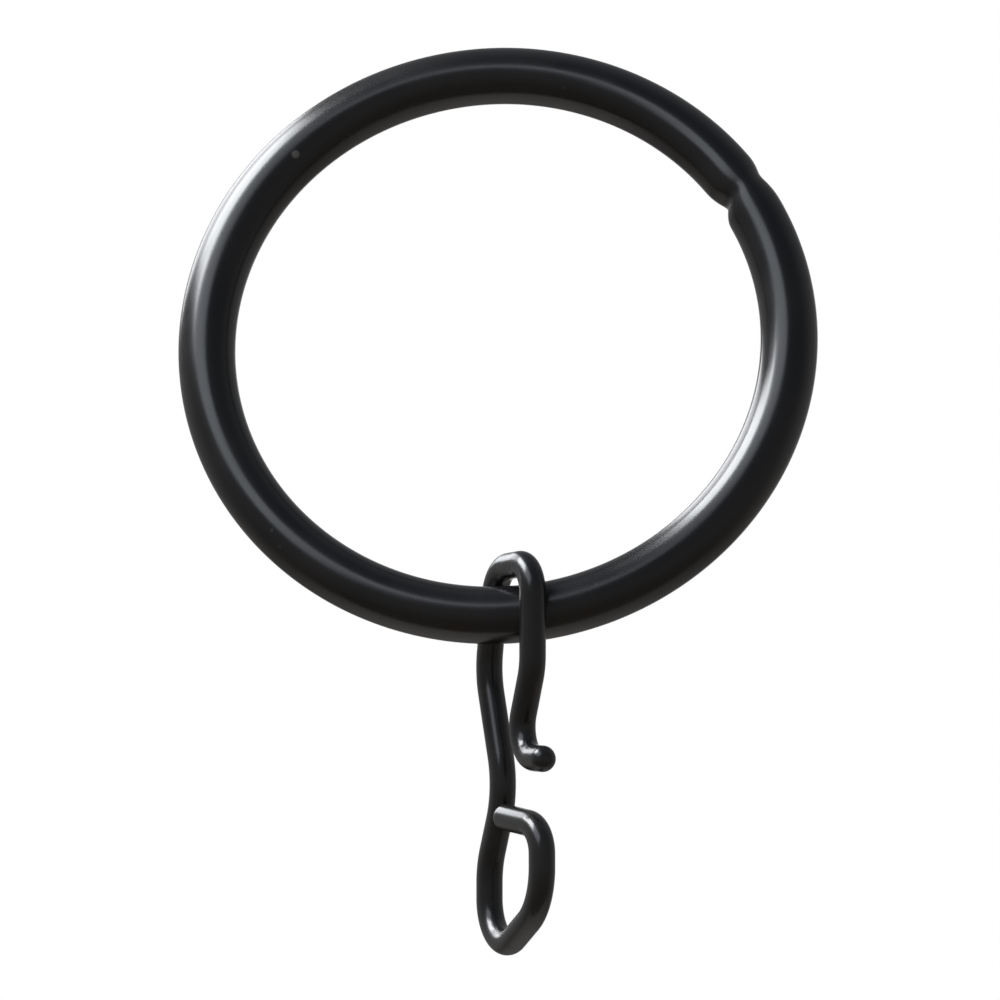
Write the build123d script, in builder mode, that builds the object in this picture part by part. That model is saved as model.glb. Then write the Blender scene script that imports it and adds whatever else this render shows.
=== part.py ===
# Curtain ring with hook: a round bar bent to a ring with a welded seam, and a wire hook looped over it.
# The ring's centre is the origin. +Z is up, the pole runs along Y, and the ring leans on it, top backwards.
import os
from math import cos, radians, sin, sqrt, tan, atan2

from build123d import *

# Ring, in millimetres and degrees; the shares are of a radius
bar_diameter = 4.0
ring_inner_diameter = 38.0
ring_lean = 22.5
seam_angle = 33.8
weld_gap = 0.1
weld_share = 0.75
end_round_share = 0.85

# Hook wire and where it hangs: the station counts from the ring's lowest point towards +X
wire_diameter = 1.9
hook_station = 4.4
hook_yaw = 27.5

# Loop round the bar
loop_clearance = 0.13
loop_front_headroom = 0.88
loop_back_headroom = 0.3
loop_front_bend = 2.05
loop_back_bend = 2.9

# Front leg and its foot, measured from the bar's centre
front_knee_drop = 3.65
front_knee_bend = 4.0
heel_offset = 0.45
foot_drop = 10.1
foot_reach = 6.05
foot_bend = 2.15

# Back leg, from the bar down to the waist, which lies above the eye's top
back_leg_lean = 11.65
back_knee_drop = 4.3
back_knee_bend = 5.3
waist_rise = 2.4
waist_offset = 1.27
waist_bend = 5.6

# Eye for the curtain; its end rises from the eye's top to the back leg
eye_back_offset = 4.14
eye_width = 9.25
eye_top_drop = 14.91
eye_front_height = 5.57
eye_bottom_slope = 28.3
eye_back_height = 7.34
eye_shoulder_bend = 5.0
eye_bottom_bend = 3.0
eye_lower_front_bend = 4.5
eye_upper_front_bend = 2.15
eye_end_rise = 0.5
eye_end_gap = 0.12
eye_end_sidestep = 0.5

bar_radius = bar_diameter / 2
wire_radius = wire_diameter / 2
ring_radius = ring_inner_diameter / 2 + bar_radius

# The ring's own plane: its local x is X, and its local y runs up the leaning ring
lean = radians(ring_lean)
ring_plane = Plane(origin=(0, 0, 0), x_dir=(1, 0, 0), z_dir=(0, -cos(lean), sin(lean)))


def bar_plane(angle):
    """Plane across the bar at an angle round the ring, with its normal along the bar."""
    turn = radians(angle)
    centre = ring_plane.from_local_coords(Vector(cos(turn), sin(turn)) * ring_radius)
    along = ring_plane.from_local_coords(Vector(-sin(turn), cos(turn))) - ring_plane.origin
    return Plane(origin=centre, x_dir=ring_plane.z_dir, z_dir=along)


# Ring: the bar runs round from one side of the seam to the other, its two ends rounded
seam_rounding = end_round_share * bar_radius
weld_half_angle = (weld_gap / 2) / radians(ring_radius)
core_half_angle = (weld_gap / 2 + seam_rounding) / radians(ring_radius)

with BuildPart() as ring:
    with BuildLine(ring_plane):
        CenterArc((0, 0), ring_radius, seam_angle + weld_half_angle, 360 - 2 * weld_half_angle)
    with BuildSketch(bar_plane(seam_angle + weld_half_angle)):
        Circle(bar_radius)
    sweep()
    cut_ends = ring.faces().filter_by(GeomType.PLANE)
    fillet(cut_ends.edges(), seam_rounding)
    # The weld fills the bottom of the groove between the ends and reaches into both
    with BuildLine(ring_plane):
        CenterArc((0, 0), ring_radius, seam_angle - core_half_angle, 2 * core_half_angle)
    with BuildSketch(bar_plane(seam_angle - core_half_angle)):
        Circle(weld_share * bar_radius)
    sweep()

ring.part.label = "ring"

# The hook's plane stands upright through the bar's centre: its local x runs forwards, its local y is up
hook_bar_plane = bar_plane(hook_station - 90)
yaw = radians(hook_yaw)
hook_plane = Plane(origin=hook_bar_plane.origin, x_dir=(sin(yaw), -cos(yaw), 0), z_dir=(-cos(yaw), -sin(yaw), 0))

# Corners of the bent wire, from the foot's tip up the front leg, over the bar and down to the eye's end
half_loop = (bar_radius + loop_clearance + wire_radius) / cos(yaw)
loop_front_top = bar_radius + loop_front_headroom + wire_radius
loop_back_top = bar_radius + loop_back_headroom + wire_radius
back_slope = tan(radians(back_leg_lean))
eye_front = eye_width - eye_back_offset
eye_front_foot = eye_top_drop + eye_front_height
eye_bottom_drop = eye_front_foot + eye_width * tan(radians(eye_bottom_slope))
eye_shoulder_drop = eye_bottom_drop - eye_back_height
waist_drop = eye_top_drop - waist_rise

# The eye's end stops just short of the back leg, beside which it lies
eye_end_drop = eye_top_drop - eye_end_rise
stem_slope = (eye_back_offset - waist_offset) / (eye_shoulder_drop - waist_drop)
stem_at_end = -waist_offset - (eye_end_drop - waist_drop) * stem_slope
end_spacing = sqrt((wire_diameter + eye_end_gap) ** 2 - eye_end_sidestep**2)
eye_end = stem_at_end + end_spacing / cos(atan2(stem_slope, 1)) - wire_radius

bends = [
    ((heel_offset, -foot_drop), foot_bend),
    ((half_loop, -front_knee_drop), front_knee_bend),
    ((half_loop, loop_front_top), loop_front_bend),
    ((-half_loop + loop_back_top * back_slope, loop_back_top), loop_back_bend),
    ((-half_loop - back_knee_drop * back_slope, -back_knee_drop), back_knee_bend),
    ((-waist_offset, -waist_drop), waist_bend),
    ((-eye_back_offset, -eye_shoulder_drop), eye_shoulder_bend),
    ((-eye_back_offset, -eye_bottom_drop), eye_bottom_bend),
    ((eye_front, -eye_front_foot), eye_lower_front_bend),
    ((eye_front, -eye_top_drop), eye_upper_front_bend),
]

with BuildPart() as hook:
    with BuildLine(hook_plane) as wire_route:
        FilletPolyline(
            (foot_reach, -foot_drop),
            *[corner for corner, bend in bends],
            (eye_end, -eye_end_drop, eye_end_sidestep),
            radius=[bend for corner, bend in bends],
        )
    with BuildSketch(Plane(origin=wire_route.line @ 0, z_dir=wire_route.line % 0)):
        Circle(wire_radius)
    sweep()
    cut_ends = hook.faces().filter_by(GeomType.PLANE)
    fillet(cut_ends.edges(), end_round_share * wire_radius)

hook.part.label = "hook"

os.makedirs("parts", exist_ok=True)
export_step(ring.part, "parts/ring.step")
export_step(hook.part, "parts/hook.step")
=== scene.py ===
from math import cos, pi, radians, sin, sqrt, tan

import bpy
from mathutils import Matrix, Quaternion, Vector


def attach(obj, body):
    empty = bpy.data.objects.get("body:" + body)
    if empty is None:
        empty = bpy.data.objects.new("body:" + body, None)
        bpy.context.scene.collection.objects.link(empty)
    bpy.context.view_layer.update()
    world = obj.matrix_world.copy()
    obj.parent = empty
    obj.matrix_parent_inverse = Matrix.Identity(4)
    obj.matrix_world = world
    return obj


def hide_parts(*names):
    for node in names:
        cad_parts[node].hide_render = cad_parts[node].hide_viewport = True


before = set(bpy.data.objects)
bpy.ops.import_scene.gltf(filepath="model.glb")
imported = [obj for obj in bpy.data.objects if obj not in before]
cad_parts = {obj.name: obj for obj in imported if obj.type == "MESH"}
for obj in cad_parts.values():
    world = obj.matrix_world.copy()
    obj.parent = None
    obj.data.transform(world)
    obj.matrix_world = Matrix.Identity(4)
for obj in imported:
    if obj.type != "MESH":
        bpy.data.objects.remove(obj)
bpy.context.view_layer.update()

# Ring: a round steel bar bent to a circle and welded end to end at the upper right, then painted black.
# The paint has run into the groove at the weld and left a soft waist there, deepest at the ring's inner
# edge. The ring leans on its pole, top backwards.
mm = 0.001
steel_bar_radius = 2.0 * mm
paint_thickness = 0.06 * mm
bar_radius = steel_bar_radius + paint_thickness
ring_radius = 21.0 * mm
ring_lean = radians(22.5)
ring_slices = 240
bar_sides = 64
merge_distance = 0.002 * mm

# The waist at the seam. Its depth is the mean of the ring's inner and outer edge, as if its flanks met in
# a sharp floor. The ring's two faces have a share of that depth, and the shift cuts it deeper inside.
seam_at = radians(33.8)
seam_depth = 0.46 * mm
seam_face_share = 0.15
seam_shift = 0.16 * mm
seam_reach = 1.9 * mm
seam_floor = 0.4 * mm
seam_skew = radians(11.0)
seam_stations = [at * mm for at in (0, 0.13, 0.26, 0.4, 0.55, 0.7, 0.9, 1.1, 1.35, 1.6, 1.9)]


def start_tube(name, radius, sides, centre, turn):
    """A new object with one ring of edges, all selected, ready to be drawn out in edit mode."""
    bpy.ops.object.select_all(action="DESELECT")
    bpy.ops.mesh.primitive_circle_add(vertices=sides, radius=radius, location=centre, rotation=turn)
    bpy.context.object.name = name
    bpy.ops.object.transform_apply(location=True, rotation=True, scale=True)
    bpy.ops.object.mode_set(mode="EDIT")
    bpy.ops.mesh.select_all(action="SELECT")
    return bpy.context.object


def swing(angle, centre, axis, steps):
    """Draw the selected ring of edges round an axis, by the right-hand rule."""
    bpy.ops.mesh.spin(steps=steps, angle=-angle, center=centre, axis=axis)


def shrink(share, centre, upright=None):
    """Scale the selected ring of edges about its centre, along Z by a share of its own if one is given."""
    bpy.ops.transform.resize(value=(share, share, upright or share), center_override=centre)


def skew(angle, centre):
    """Turn the selected ring of edges about its own centre, by the right-hand rule round Z."""
    bpy.ops.transform.rotate(value=-angle, orient_axis="Z", center_override=centre)


def end_tube(piece, place):
    """Weld the mesh, close it, turn its faces outwards, smooth it and put it in its place."""
    bpy.ops.mesh.select_all(action="SELECT")
    bpy.ops.mesh.remove_doubles(threshold=merge_distance)
    bpy.ops.mesh.select_all(action="SELECT")
    bpy.ops.mesh.fill_holes(sides=0)
    bpy.ops.mesh.select_all(action="SELECT")
    bpy.ops.mesh.normals_make_consistent(inside=False)
    bpy.ops.object.mode_set(mode="OBJECT")
    bpy.ops.object.shade_smooth()
    piece.matrix_world = place
    bpy.ops.object.transform_apply(location=True, rotation=True, scale=True)


def seam_radius(at):
    """Radius of the painted bar at a distance from the seam's middle: flared flanks, a rounded floor."""
    if at >= seam_floor:
        return bar_radius - seam_depth * (1 - at / seam_reach) ** 2
    floor_edge = 1 - seam_floor / seam_reach
    floor_sag = (seam_floor**2 - at**2) / (seam_floor * seam_reach)
    return bar_radius - seam_depth * floor_edge * (floor_edge + floor_sag)


def face_radius(radius):
    """Radius towards the ring's two faces, where the waist is shallower than at its edges."""
    return bar_radius - (bar_radius - radius) * seam_face_share


def waist_shift(radius):
    """How far the waist's middle lies outwards, because its inner side is cut in deeper than its outer."""
    return seam_shift * (bar_radius - radius) / seam_depth


def bar_centre(angle, shift):
    """Centre of the bar at an angle round the ring from the seam, shifted outwards."""
    return Vector((cos(angle), sin(angle), 0)) * (ring_radius + shift)


def draw_round(angle, steps):
    """Draw the selected ring of edges on round the ring's own axis."""
    swing(angle, (0, 0, 0), (0, 0, 1), steps)


def reshape(angle, radius, radius_now, turn):
    """Bring the ring of edges at an angle round the ring to another radius and its shift, and turn it."""
    centre = bar_centre(angle, waist_shift(radius_now))
    shrink(radius / radius_now, centre, face_radius(radius) / face_radius(radius_now))
    skew(turn, centre)
    bpy.ops.transform.translate(value=bar_centre(angle, waist_shift(radius)) - centre)


seam_sections = []
for at in seam_stations:
    seam_sections.append((at / ring_radius, seam_radius(at), seam_skew * (1 - at / seam_reach)))

# The bar is drawn from the middle of the seam, out of the waist, round the ring and into the waist again
angle_now, radius_now, skew_now = seam_sections[0]
waist_middle = bar_centre(0, waist_shift(radius_now))
ring = start_tube("ring_bar", radius_now, bar_sides, waist_middle, (pi / 2, 0, seam_skew))
shrink(1.0, waist_middle, face_radius(radius_now) / radius_now)
for angle, radius, turn in seam_sections[1:]:
    draw_round(angle - angle_now, 1)
    reshape(angle, radius, radius_now, turn - skew_now)
    angle_now, radius_now, skew_now = angle, radius, turn
waist_again = 2 * pi - angle_now
draw_round(waist_again - angle_now, ring_slices)
angle_now = waist_again
for angle, radius, turn in reversed(seam_sections[:-1]):
    draw_round(2 * pi - angle - angle_now, 1)
    reshape(-angle, radius, radius_now, turn - skew_now)
    angle_now, radius_now, skew_now = 2 * pi - angle, radius, turn
ring_place = Matrix.Rotation(pi / 2 - ring_lean, 4, "X") @ Matrix.Rotation(seam_at, 4, "Z")
end_tube(ring, ring_place)

# The paint's patterns, whose scales count features to the metre, and its marks: dust specks, whose edges
# are shares of a pattern's cell, and a painted highlight at the ring's upper left, turned in from the bar's
# front: a pale spot in the colour for the sky's reflection on a small raised blister in the paint
paint_ior = 1.65
cloud_scale = 140
cloud_spread = (0.35, 0.65)
gloss_scale = 200
gloss_spread = (0.3, 0.7)
peel_scale = 1600
peel_strength = 0.05
peel_height = 0.01 * mm
dust_scale = 260
dust_edges = (0.02, 0.05)
dust_cover = 0.6
dust_colour = (0.05, 0.048, 0.045)
blister_highlight_edges = (0.2 * mm, 0.36 * mm)
blister_highlight_colour = (0.12, 0.11, 0.1)
blister_highlight_at = radians(136.82)
blister_highlight_inwards = radians(16.62)


def black_paint(name, dark, light, roughness, seed, blister_highlight=None):
    """Black gloss paint: cloudy colour, uneven gloss, fine orange peel, dust specks, maybe a painted
    highlight.
    """
    paint = bpy.data.materials.new(name)
    paint.use_nodes = True
    nodes = paint.node_tree.nodes
    links = paint.node_tree.links
    shader = nodes["Principled BSDF"]
    shader.inputs["IOR"].default_value = paint_ior
    place = nodes.new("ShaderNodeTexCoord")

    def noise(scale, detail):
        node = nodes.new("ShaderNodeTexNoise")
        node.noise_dimensions = "4D"
        node.inputs["W"].default_value = seed
        node.inputs["Scale"].default_value = scale
        node.inputs["Detail"].default_value = detail
        links.new(place.outputs["Object"], node.inputs["Vector"])
        return node.outputs["Fac"]

    def spread(source, source_range, result_range):
        node = nodes.new("ShaderNodeMapRange")
        node.inputs["From Min"].default_value = source_range[0]
        node.inputs["From Max"].default_value = source_range[1]
        node.inputs["To Min"].default_value = result_range[0]
        node.inputs["To Max"].default_value = result_range[1]
        links.new(source, node.inputs["Value"])
        return node.outputs["Result"]

    def blend(share, low, high):
        node = nodes.new("ShaderNodeMixRGB")
        links.new(share, node.inputs["Fac"])
        for source, socket in ((low, node.inputs["Color1"]), (high, node.inputs["Color2"])):
            if isinstance(source, tuple):
                socket.default_value = (*source, 1)
            else:
                links.new(source, socket)
        return node.outputs["Color"]

    colour = blend(spread(noise(cloud_scale, detail=3), cloud_spread, (0, 1)), dark, light)
    dust = nodes.new("ShaderNodeTexVoronoi")
    dust.inputs["Scale"].default_value = dust_scale
    links.new(place.outputs["Object"], dust.inputs["Vector"])
    colour = blend(spread(dust.outputs["Distance"], dust_edges, (dust_cover, 0)), colour, dust_colour)
    # Painted highlight: a pale disc in the base colour stands for the reflection on a small paint blister
    if blister_highlight:
        away = nodes.new("ShaderNodeVectorMath")
        away.operation = "DISTANCE"
        away.inputs[1].default_value = blister_highlight
        links.new(place.outputs["Object"], away.inputs[0])
        colour = blend(spread(away.outputs["Value"], blister_highlight_edges, (1, 0)), colour, blister_highlight_colour)
    links.new(colour, shader.inputs["Base Color"])
    links.new(spread(noise(gloss_scale, detail=2), gloss_spread, roughness), shader.inputs["Roughness"])
    peel = nodes.new("ShaderNodeBump")
    peel.inputs["Strength"].default_value = peel_strength
    peel.inputs["Distance"].default_value = peel_height
    links.new(noise(peel_scale, detail=2), peel.inputs["Height"])
    links.new(peel.outputs["Normal"], shader.inputs["Normal"])
    return paint


# Where the painted highlight of the blister sits, on the bar's surface turned in from its front
blister_highlight_bar = bar_centre(blister_highlight_at - seam_at, -bar_radius * sin(blister_highlight_inwards))
ring_paint = black_paint(
    "ring_black_paint",
    dark=(0.005, 0.005, 0.006),
    light=(0.011, 0.01, 0.01),
    roughness=(0.2, 0.26),
    seed=2.0,
    blister_highlight=ring_place @ (blister_highlight_bar + Vector((0, 0, bar_radius * cos(blister_highlight_inwards)))),
)
ring.data.materials.append(ring_paint)
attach(ring, "ring")
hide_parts("ring")

# Hook: one length of steel wire bent to shape, looped over the bar and painted black. The front leg ends
# in a short foot, and the back leg runs down to the eye, whose end turns back to lie against it. The hook
# hangs a little right of the ring's lowest point, in an upright plane of its own.
wire_radius = 0.95 * mm
wire_sides = 56
bend_step = radians(2.5)
fewest_bend_steps = 4
end_rounding = 0.85 * wire_radius
end_cuts = [radians(cut) for cut in (0, 10, 25, 42, 60, 78, 90)]
hook_yaw = radians(27.5)
hook_station = radians(4.4)

# Loop round the bar
loop_clearance = 0.13 * mm
loop_front_headroom = 0.88 * mm
loop_back_headroom = 0.3 * mm
loop_front_bend = 2.05 * mm
loop_back_bend = 2.9 * mm

# Front leg and its foot; offsets run forwards and drops run down from the bar's centre, here and below
front_knee_drop = 3.65 * mm
front_knee_bend = 4.0 * mm
heel_offset = 0.45 * mm
foot_drop = 10.1 * mm
foot_reach = 6.05 * mm
foot_bend = 2.15 * mm

# Back leg, down to the waist above the eye
back_leg_lean = radians(11.65)
back_knee_drop = 4.3 * mm
back_knee_bend = 5.3 * mm
waist_rise = 2.4 * mm
waist_offset = -1.27 * mm
waist_bend = 5.6 * mm

# Eye for the curtain, and its end beside the back leg
eye_back_offset = -4.14 * mm
eye_width = 9.25 * mm
eye_top_drop = 14.91 * mm
eye_front_height = 5.57 * mm
eye_bottom_slope = radians(28.3)
eye_back_height = 7.34 * mm
eye_shoulder_bend = 5.0 * mm
eye_bottom_bend = 3.0 * mm
eye_lower_front_bend = 4.5 * mm
eye_upper_front_bend = 2.15 * mm
eye_end_rise = 0.5 * mm
eye_end_gap = 0.12 * mm
eye_end_sidestep = 0.5 * mm

half_loop = (steel_bar_radius + loop_clearance + wire_radius) / cos(hook_yaw)
loop_front_top = steel_bar_radius + loop_front_headroom + wire_radius
loop_back_top = steel_bar_radius + loop_back_headroom + wire_radius
back_slope = tan(back_leg_lean)
waist_drop = eye_top_drop - waist_rise
eye_front_offset = eye_back_offset + eye_width
eye_front_foot = eye_top_drop + eye_front_height
eye_bottom_drop = eye_front_foot + eye_width * tan(eye_bottom_slope)
eye_shoulder_drop = eye_bottom_drop - eye_back_height

# The eye's end stops just short of the stem, which is the back leg's run from the waist to the eye
eye_end_drop = eye_top_drop - eye_end_rise
stem_slope = (eye_back_offset - waist_offset) / (eye_shoulder_drop - waist_drop)
stem_at_end = waist_offset + (eye_end_drop - waist_drop) * stem_slope
end_spacing = sqrt((2 * wire_radius + eye_end_gap) ** 2 - eye_end_sidestep**2)
eye_end_offset = stem_at_end + end_spacing * sqrt(1 + stem_slope**2) - wire_radius

# Each bend of the wire from the foot to the eye: its corner, forwards and up, and its radius
hook_bends = [
    (Vector((heel_offset, -foot_drop, 0)), foot_bend),
    (Vector((half_loop, -front_knee_drop, 0)), front_knee_bend),
    (Vector((half_loop, loop_front_top, 0)), loop_front_bend),
    (Vector((-half_loop + loop_back_top * back_slope, loop_back_top, 0)), loop_back_bend),
    (Vector((-half_loop - back_knee_drop * back_slope, -back_knee_drop, 0)), back_knee_bend),
    (Vector((waist_offset, -waist_drop, 0)), waist_bend),
    (Vector((eye_back_offset, -eye_shoulder_drop, 0)), eye_shoulder_bend),
    (Vector((eye_back_offset, -eye_bottom_drop, 0)), eye_bottom_bend),
    (Vector((eye_front_offset, -eye_front_foot, 0)), eye_lower_front_bend),
    (Vector((eye_front_offset, -eye_top_drop, 0)), eye_upper_front_bend),
]
foot_tip = Vector((foot_reach, -foot_drop, 0))
eye_end = Vector((eye_end_offset, -eye_end_drop, eye_end_sidestep))
corners = [corner for corner, bend in hook_bends] + [eye_end]


def rounded_radius(cut):
    """Radius of the wire's rounded end at an angle round its rounding, from the tip's flat."""
    return wire_radius - end_rounding * (1 - sin(cut))


def draw_out(move):
    """Draw the selected ring of edges straight out."""
    bpy.ops.mesh.extrude_region_move(TRANSFORM_OT_translate={"value": move})


def draw_end(tip, inwards, cuts):
    """Draw the selected ring of edges through a rounded end of the wire, from cut to cut."""
    for cut_now, cut in zip(cuts, cuts[1:]):
        depth = end_rounding * (1 - cos(cut))
        draw_out(inwards * (depth - end_rounding * (1 - cos(cut_now))))
        shrink(rounded_radius(cut) / rounded_radius(cut_now), tip + inwards * depth)


# The wire is drawn from the foot's tip, run by run and bend by bend, to the eye's end
hook = start_tube("wire_hook", rounded_radius(0), wire_sides, foot_tip, (0, pi / 2, 0))
heading = (corners[0] - foot_tip).normalized()
draw_end(foot_tip, heading, end_cuts)
drawn_to = foot_tip + heading * end_rounding
for (corner, bend), onwards in zip(hook_bends, corners[1:]):
    new_heading = (onwards - corner).normalized()
    turn = heading.angle(new_heading)
    setback = bend * tan(turn / 2)
    arc_start = corner - heading * setback
    draw_out(arc_start - drawn_to)
    axis = heading.cross(new_heading).normalized()
    arc_centre = arc_start + axis.cross(heading) * bend
    swing(turn, arc_centre, axis, max(fewest_bend_steps, round(turn / bend_step)))
    drawn_to = corner + new_heading * setback
    heading = new_heading
draw_out(eye_end - heading * end_rounding - drawn_to)
draw_end(eye_end, -heading, end_cuts[::-1])

hook_forwards = Vector((sin(hook_yaw), -cos(hook_yaw), 0))
hook_up = Vector((0, 0, 1))
hook_axes = Matrix((hook_forwards, hook_up, hook_forwards.cross(hook_up))).transposed()
hook_centre = ring_place @ bar_centre(hook_station - pi / 2 - seam_at, 0)
end_tube(hook, Matrix.Translation(hook_centre) @ hook_axes.to_4x4())

hook_paint = black_paint(
    "hook_black_paint",
    dark=(0.008, 0.008, 0.009),
    light=(0.02, 0.019, 0.018),
    roughness=(0.2, 0.27),
    seed=7.0,
)
hook.data.materials.append(hook_paint)
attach(hook, "hook")
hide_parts("hook")

# Floor: a plain pale matt sheet far below the hanging part, out of the picture. It sends a little warm
# light up to the part, and looks near white to a camera that sees it from above.
floor_size = 3.0
floor_place = (0, 1.2, -1.1)
floor_warm = (0.92, 0.82, 0.73, 1)
floor_seen = (0.92, 0.91, 0.9, 1)
floor_roughness = 0.9
floor_lift = 0.45
bpy.ops.object.select_all(action="DESELECT")
bpy.ops.mesh.primitive_plane_add(size=floor_size, location=floor_place)
floor = bpy.context.object
floor.name = "floor"
bpy.ops.object.transform_apply(location=True, rotation=True, scale=True)
sheet = bpy.data.materials.new("pale_sheet")
sheet.use_nodes = True
nodes = sheet.node_tree.nodes
links = sheet.node_tree.links
surface = nodes["Principled BSDF"]
seen = nodes.new("ShaderNodeLightPath")
pale = nodes.new("ShaderNodeMixRGB")
pale.inputs["Color1"].default_value = floor_warm
pale.inputs["Color2"].default_value = floor_seen
links.new(seen.outputs["Is Camera Ray"], pale.inputs["Fac"])
links.new(pale.outputs["Color"], surface.inputs["Base Color"])
surface.inputs["Roughness"].default_value = floor_roughness
surface.inputs["Emission Color"].default_value = (1, 1, 1, 1)
lift = nodes.new("ShaderNodeMath")
lift.operation = "MULTIPLY"
lift.inputs[1].default_value = floor_lift
links.new(seen.outputs["Is Camera Ray"], lift.inputs[0])
links.new(lift.outputs["Value"], surface.inputs["Emission Strength"])
floor.data.materials.append(sheet)

# Studio: white to the camera and straight behind the part; elsewhere a dim room, bluish above and brownish
# below. A window of two panes runs past the part on the left, high beside it and lower behind it, and a
# patch of ceiling glows in front. A tone's place is 0 at one end of its axis and 1 at the other.
room_tones = [(0.2, (0.13, 0.11, 0.09)), (0.5, (0.18, 0.18, 0.18)), (1.0, (0.06, 0.075, 0.1))]
backdrop_tones = [
    (0.35, (0, 0, 0)),
    (0.63, (0.12, 0.12, 0.12)),
    (0.97, (0.12, 0.12, 0.12)),
    (0.99, (1, 1, 1)),
]
daylight = (0.95, 0.97, 1.0)
skylight = (0.86, 0.92, 1.0)
pane_size = (0.66, 0.4)
patch_size = (0.86, 0.5)

world = bpy.data.worlds.new("studio")
bpy.context.scene.world = world
world.use_nodes = True
nodes = world.node_tree.nodes
links = world.node_tree.links
nodes.clear()
sight = nodes.new("ShaderNodeTexCoord")
direction = nodes.new("ShaderNodeSeparateXYZ")
links.new(sight.outputs["Generated"], direction.inputs["Vector"])


def tones_along(axis, tones):
    """Tones of the room along one axis of the direction that a ray goes in."""
    share = nodes.new("ShaderNodeMapRange")
    share.inputs["From Min"].default_value = -1.0
    links.new(direction.outputs[axis], share.inputs["Value"])
    ramp = nodes.new("ShaderNodeValToRGB")
    links.new(share.outputs["Result"], ramp.inputs["Fac"])
    stops = ramp.color_ramp.elements
    stops.remove(stops[1])
    stops[0].position = tones[0][0]
    stops[0].color = (*tones[0][1], 1)
    for position, tone in tones[1:]:
        stops.new(position).color = (*tone, 1)
    return ramp.outputs["Color"]


room = nodes.new("ShaderNodeBackground")
links.new(tones_along("Z", room_tones), room.inputs["Color"])
backdrop = nodes.new("ShaderNodeBackground")
backdrop.inputs["Color"].default_value = (1, 1, 1, 1)

# The backdrop shows to the camera, and in mirrored rays by how far they go to the back
ray = nodes.new("ShaderNodeLightPath")
mirrored = nodes.new("ShaderNodeMath")
mirrored.operation = "MAXIMUM"
links.new(ray.outputs["Is Glossy Ray"], mirrored.inputs[0])
links.new(ray.outputs["Is Transmission Ray"], mirrored.inputs[1])
showing = nodes.new("ShaderNodeMath")
showing.operation = "MULTIPLY_ADD"
links.new(mirrored.outputs["Value"], showing.inputs[0])
links.new(tones_along("Y", backdrop_tones), showing.inputs[1])
links.new(ray.outputs["Is Camera Ray"], showing.inputs[2])
room_or_backdrop = nodes.new("ShaderNodeMixShader")
links.new(showing.outputs["Value"], room_or_backdrop.inputs["Fac"])
links.new(room.outputs["Background"], room_or_backdrop.inputs[1])
links.new(backdrop.outputs["Background"], room_or_backdrop.inputs[2])
studio = nodes.new("ShaderNodeOutputWorld")
links.new(room_or_backdrop.outputs["Shader"], studio.inputs["Surface"])


def soft_light(name, place, roll, size, glow, colour):
    """A soft rectangular light facing the part, rolled round its axis, as bright as its glow at any size."""
    width, height = size
    lamp = bpy.data.lights.new(name, "AREA")
    lamp.shape = "RECTANGLE"
    lamp.size = width
    lamp.size_y = height
    lamp.energy = glow * pi * width * height
    lamp.color = colour
    holder = bpy.data.objects.new(name, lamp)
    bpy.context.scene.collection.objects.link(holder)
    holder.location = place
    facing = (-Vector(place)).to_track_quat("-Z", "Y") @ Quaternion((0, 0, 1), roll)
    holder.rotation_euler = facing.to_euler()


soft_light(
    "near_pane",
    place=(-0.594, 0.015, 0.676),
    roll=radians(14.7),
    size=pane_size,
    glow=13.5,
    colour=daylight,
)
soft_light(
    "far_pane",
    place=(-0.551, 0.574, 0.421),
    roll=radians(43.7),
    size=pane_size,
    glow=4.6,
    colour=daylight,
)
soft_light(
    "ceiling_patch",
    place=(-0.416, -0.496, 0.625),
    roll=radians(-25.0),
    size=patch_size,
    glow=1.7,
    colour=skylight,
)

# Camera: level with the ring's centre and a little right of its front, far off with a long lens. It looks
# down by about a degree. The drop and the shift move it within its own picture plane.
camera_turn = radians(3.73)
camera_tilt = radians(0.89)
camera_distance = 0.8
camera_drop = 11.3 * mm
camera_shift = 0.17 * mm
camera_lens = 400.0
camera_sensor = 36.0
camera_near = 10 * mm
camera = bpy.data.objects.new("camera", bpy.data.cameras.new("camera"))
bpy.context.scene.collection.objects.link(camera)
camera.data.lens = camera_lens
camera.data.sensor_width = camera_sensor
camera.data.clip_start = camera_near
camera.rotation_euler = (pi / 2 - camera_tilt, 0, camera_turn)
camera_stand = Vector((camera_shift, -camera_drop, camera_distance))
camera.location = camera.rotation_euler.to_matrix() @ camera_stand
bpy.context.scene.camera = camera
bpy.context.scene.view_settings.view_transform = "Standard"
